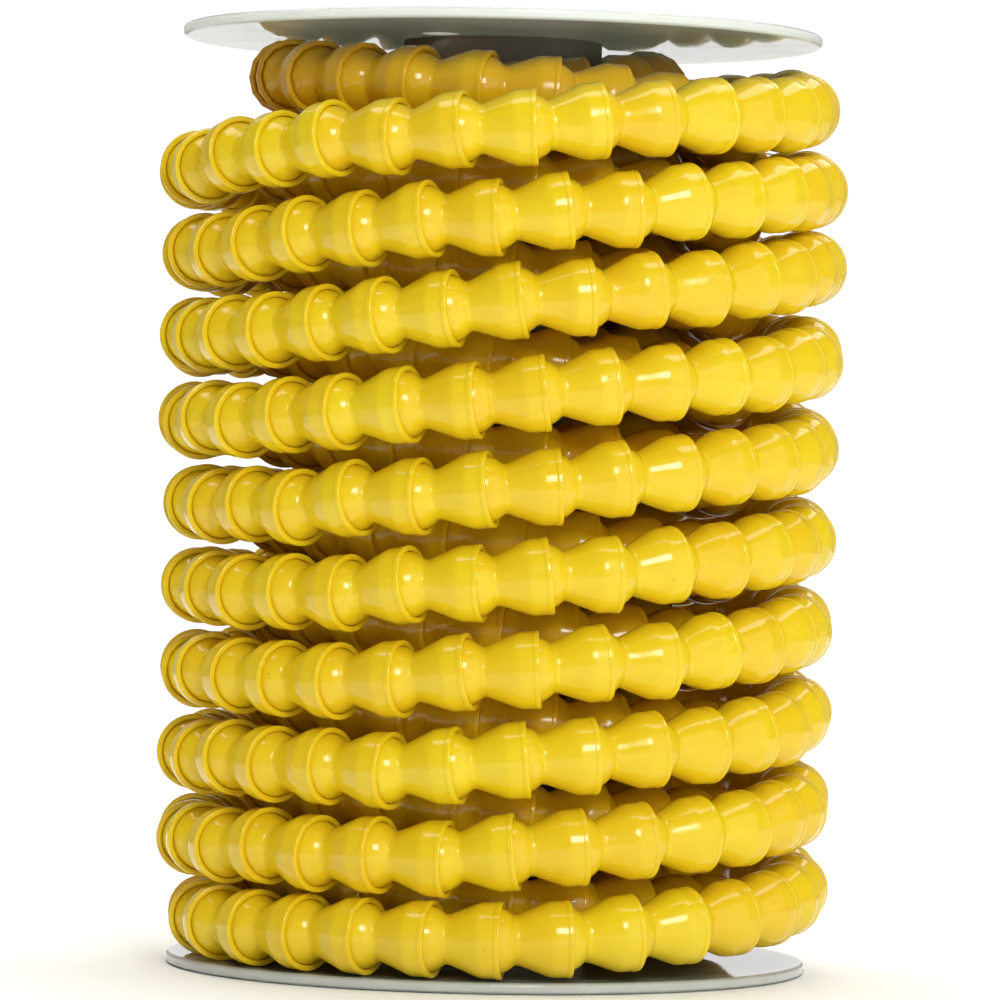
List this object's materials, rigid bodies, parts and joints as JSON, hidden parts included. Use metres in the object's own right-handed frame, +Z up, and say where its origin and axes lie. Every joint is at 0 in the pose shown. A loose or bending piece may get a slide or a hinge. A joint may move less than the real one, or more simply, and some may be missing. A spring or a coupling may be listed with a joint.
{
  "type": "reel of modular ball-and-socket hose",
  "caption": "Flanged reel wound with three layers of articulated ball-and-socket hose, its last elements free to swing off the reel.",
  "frame": {"origin": "centre of the arbor bore on the bottom flange's outer face", "axes": "+Z up along the spool's axis, towards the top flange; front towards -Y"},
  "size_m": [0.2172, 0.2158, 0.294],
  "materials": {
    "hose": "glossy moulded acetal",
    "reel_flange": "smooth milky moulded polystyrene",
    "core": "matt extruded tube"
  },
  "bodies": {
    "reel": {"bottom_flange": "reel_flange", "top_flange": "reel_flange", "core_tube": "core", "inner_turn_01": "hose", "inner_turn_02": "hose", "inner_turn_03": "hose", "inner_turn_04": "hose", "inner_turn_05": "hose", "inner_turn_06": "hose", "inner_turn_07": "hose", "inner_turn_08": "hose", "inner_turn_09": "hose", "inner_turn_10": "hose", "middle_turn_01": "hose", "middle_turn_02": "hose", "middle_turn_03": "hose", "middle_turn_04": "hose", "middle_turn_05": "hose", "middle_turn_06": "hose", "middle_turn_07": "hose", "middle_turn_08": "hose", "middle_turn_09": "hose", "middle_turn_10": "hose", "outer_turn_01": "hose", "outer_turn_02": "hose", "outer_turn_03": "hose", "outer_turn_04": "hose", "outer_turn_05": "hose", "outer_turn_06": "hose", "outer_turn_07": "hose", "outer_turn_08": "hose", "outer_turn_09": "hose", "outer_turn_10": "hose"},
    "tail_1": {"tail_element_1": "hose"},
    "tail_2": {"tail_element_2": "hose"},
    "tail_3": {"tail_element_3": "hose"},
    "tail_4": {"tail_element_4": "hose"},
    "tail_5": {"tail_element_5": "hose"},
    "tail_6": {"tail_element_6": "hose"},
    "tail_7": {"tail_element_7": "hose"},
    "tail_8": {"tail_element_8": "hose"}
  },
  "joints": [
    {"name": "swing_1", "type": "hinge", "parent": "reel", "child": "tail_1", "pos_m": [0.09266, 0.02121, 0.27368], "axis": [0, 0, -1], "range_deg": [0, 35]},
    {"name": "swing_2", "type": "hinge", "parent": "tail_1", "child": "tail_2", "pos_m": [0.08552, 0.04042, 0.27391], "axis": [0, 0, -1], "range_deg": [0, 35]},
    {"name": "swing_3", "type": "hinge", "parent": "tail_2", "child": "tail_3", "pos_m": [0.07529, 0.05818, 0.27444], "axis": [0, 0, -1], "range_deg": [0, 35]},
    {"name": "swing_4", "type": "hinge", "parent": "tail_3", "child": "tail_4", "pos_m": [0.06113, 0.07298, 0.27358], "axis": [0, 0, -1], "range_deg": [0, 35]},
    {"name": "swing_5", "type": "hinge", "parent": "tail_4", "child": "tail_5", "pos_m": [0.04401, 0.08421, 0.27461], "axis": [0, 0, -1], "range_deg": [0, 35]},
    {"name": "swing_6", "type": "hinge", "parent": "tail_5", "child": "tail_6", "pos_m": [0.0252, 0.09236, 0.27423], "axis": [0, 0, -1], "range_deg": [0, 35]},
    {"name": "swing_7", "type": "hinge", "parent": "tail_6", "child": "tail_7", "pos_m": [0.00494, 0.09542, 0.27469], "axis": [0, 0, -1], "range_deg": [0, 35]},
    {"name": "swing_8", "type": "hinge", "parent": "tail_7", "child": "tail_8", "pos_m": [-0.01553, 0.09443, 0.27406], "axis": [0, 0, -1], "range_deg": [0, 35]}
  ]
}
